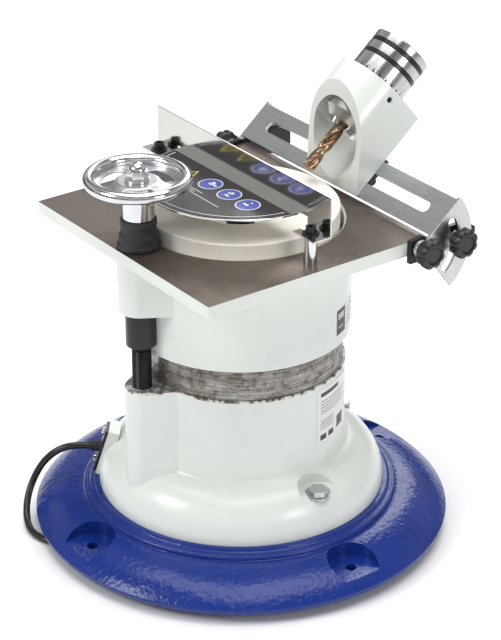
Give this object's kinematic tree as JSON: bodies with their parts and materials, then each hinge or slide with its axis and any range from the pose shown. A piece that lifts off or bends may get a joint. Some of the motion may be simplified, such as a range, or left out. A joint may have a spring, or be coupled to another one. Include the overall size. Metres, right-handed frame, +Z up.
{
  "type": "drill bit sharpener",
  "caption": "Bench grinder with an upright ring wheel, a table raised by a hand screw, a tilting slotted fence and a sliding chuck that holds the drill.",
  "frame": {"origin": "on the floor, at the centre of the four anchor holes, on the wheel's axis", "axes": "+Z up along the wheel spindle, +X along the fence, +Y from the handwheel towards the fence"},
  "size_m": [0.4685, 0.4196, 0.4747],
  "materials": {
    "blue_enamel": "glossy enamel",
    "black_rubber": "matte",
    "grey_paint": "semi-gloss",
    "zinc_steel": "zinc plated",
    "dark_sheet": "matte black",
    "black_plastic": "matte",
    "red_plastic": "gloss",
    "motor_steel": "plain",
    "copper": "enamelled wire",
    "cast_alloy": "as cast",
    "bearing_steel": "polished",
    "capacitor_can": "satin",
    "abrasive": "granular",
    "machine_iron": "painted sides, ground top",
    "mirror_steel": "polished",
    "chrome": "bright",
    "blackened_steel": "oiled black",
    "plated_plate": "satin plated",
    "bronze_steel": "bronze oxide",
    "label_film": "printed film",
    "cord_pvc": "satin"
  },
  "bodies": {
    "base": {"base_ring": "blue_enamel", "rubber_feet": "black_rubber", "lower_housing": "grey_paint", "housing_bolts": "zinc_steel", "housing_washers": "zinc_steel", "bottom_cover": "dark_sheet", "switch_box": "black_plastic", "motor_frame": "motor_steel", "motor_stator": "motor_steel", "motor_windings": "copper", "motor_end_shield": "cast_alloy", "motor_screws": "zinc_steel", "ball_bearings": "bearing_steel", "run_capacitor": "capacitor_can", "rating_label": "label_film", "cord_clamp": "blackened_steel", "clamp_screws": "zinc_steel", "cord_grommet": "black_rubber", "mains_cord": "cord_pvc", "cord_coil": "cord_pvc", "mains_plug": "black_plastic"},
    "rocker": {"switch_rocker": "red_plastic"},
    "wheel": {"wheel_spindle": "motor_steel", "motor_rotor": "motor_steel", "cooling_fan": "black_plastic", "backing_flange": "motor_steel", "grinding_wheel": "abrasive", "clamp_flange": "motor_steel", "wheel_nut": "blackened_steel"},
    "table": {"table_casting": "machine_iron", "guard_posts": "chrome", "guard_sheet": "mirror_steel", "guard_screws": "blackened_steel", "guard_label": "label_film", "screw_boot": "black_rubber", "bracket_right": "blackened_steel", "bracket_left": "blackened_steel", "bracket_screws": "blackened_steel", "clamp_studs": "zinc_steel", "skirt_label": "label_film"},
    "screw": {"table_screw": "blackened_steel", "handwheel": "chrome", "handwheel_nut": "chrome"},
    "fence": {"fence_plate": "plated_plate"},
    "holder": {"drill_holder": "grey_paint", "lock_screw": "blackened_steel", "slide_key": "blackened_steel", "key_screws": "blackened_steel"},
    "chuck": {"chuck_body": "motor_steel", "chuck_cap": "bearing_steel", "twist_drill": "bronze_steel"},
    "sleeve": {"chuck_sleeve": "bearing_steel", "grip_bands": "blackened_steel"},
    "jaw_1": {"chuck_jaw_1": "motor_steel"},
    "jaw_2": {"chuck_jaw_2": "motor_steel"},
    "jaw_3": {"chuck_jaw_3": "motor_steel"},
    "pivot_knob_r": {"pivot_knob_right": "black_plastic"},
    "clamp_knob_r": {"clamp_knob_right": "black_plastic"},
    "pivot_knob_l": {"pivot_knob_left": "black_plastic"},
    "clamp_knob_l": {"clamp_knob_left": "black_plastic"}
  },
  "joints": [
    {"name": "wheel_spin", "type": "hinge", "parent": "base", "child": "wheel", "pos_m": [0, 0, 0.3], "axis": [0, 0, 1], "continuous": true},
    {"name": "table_lift", "type": "slide", "parent": "base", "child": "table", "axis": [0, 0, 1], "range_m": [-0.006, 0.025]},
    {"name": "handwheel_turn", "type": "hinge", "parent": "table", "child": "screw", "pos_m": [0, -0.116, 0.395], "axis": [0, 0, 1], "range_deg": [-900, 3700]},
    {"name": "fence_tilt", "type": "hinge", "parent": "table", "child": "fence", "pos_m": [0, 0.099, 0.321], "axis": [1, 0, 0], "range_deg": [-12, 12]},
    {"name": "holder_slide", "type": "slide", "parent": "fence", "child": "holder", "axis": [1, 0, 0], "range_m": [-0.08, 0.08]},
    {"name": "chuck_turn", "type": "hinge", "parent": "holder", "child": "chuck", "pos_m": [0, 0.1506, 0.41508], "axis": [0, 0.766, 0.6428], "continuous": true},
    {"name": "sleeve_turn", "type": "hinge", "parent": "chuck", "child": "sleeve", "pos_m": [0, 0.17741, 0.43757], "axis": [0, 0.766, 0.6428], "range_deg": [0, 120]},
    {"name": "jaw_1_slide", "type": "slide", "parent": "chuck", "child": "jaw_1", "axis": [0, 0.5878, 0.809], "range_m": [0, 0.0031]},
    {"name": "jaw_2_slide", "type": "slide", "parent": "chuck", "child": "jaw_2", "axis": [-0.2095, 0.821, 0.531], "range_m": [0, 0.0031]},
    {"name": "jaw_3_slide", "type": "slide", "parent": "chuck", "child": "jaw_3", "axis": [0.2095, 0.821, 0.531], "range_m": [0, 0.0031]},
    {"name": "pivot_knob_r_turn", "type": "hinge", "parent": "table", "child": "pivot_knob_r", "pos_m": [0.16, 0.099, 0.321], "axis": [1, 0, 0], "range_deg": [0, 270]},
    {"name": "clamp_knob_r_turn", "type": "hinge", "parent": "table", "child": "clamp_knob_r", "pos_m": [0.16, 0.139, 0.321], "axis": [1, 0, 0], "range_deg": [0, 270]},
    {"name": "pivot_knob_l_turn", "type": "hinge", "parent": "table", "child": "pivot_knob_l", "pos_m": [-0.16, 0.099, 0.321], "axis": [1, 0, 0], "range_deg": [0, 270]},
    {"name": "clamp_knob_l_turn", "type": "hinge", "parent": "table", "child": "clamp_knob_l", "pos_m": [-0.16, 0.139, 0.321], "axis": [1, 0, 0], "range_deg": [0, 270]},
    {"name": "rocker_tilt", "type": "hinge", "parent": "base", "child": "rocker", "pos_m": [-0.09266, 0.0535, 0.148], "axis": [-0.5, -0.866, 0], "range_deg": [-6, 6]}
  ],
  "couplings": [
    {"joint": "handwheel_turn", "follows": "table_lift", "rad_per_m": 2513.3},
    {"joint": "jaw_1_slide", "follows": "sleeve_turn", "m_per_rad": 0.001432},
    {"joint": "jaw_2_slide", "follows": "sleeve_turn", "m_per_rad": 0.001432},
    {"joint": "jaw_3_slide", "follows": "sleeve_turn", "m_per_rad": 0.001432}
  ]
}
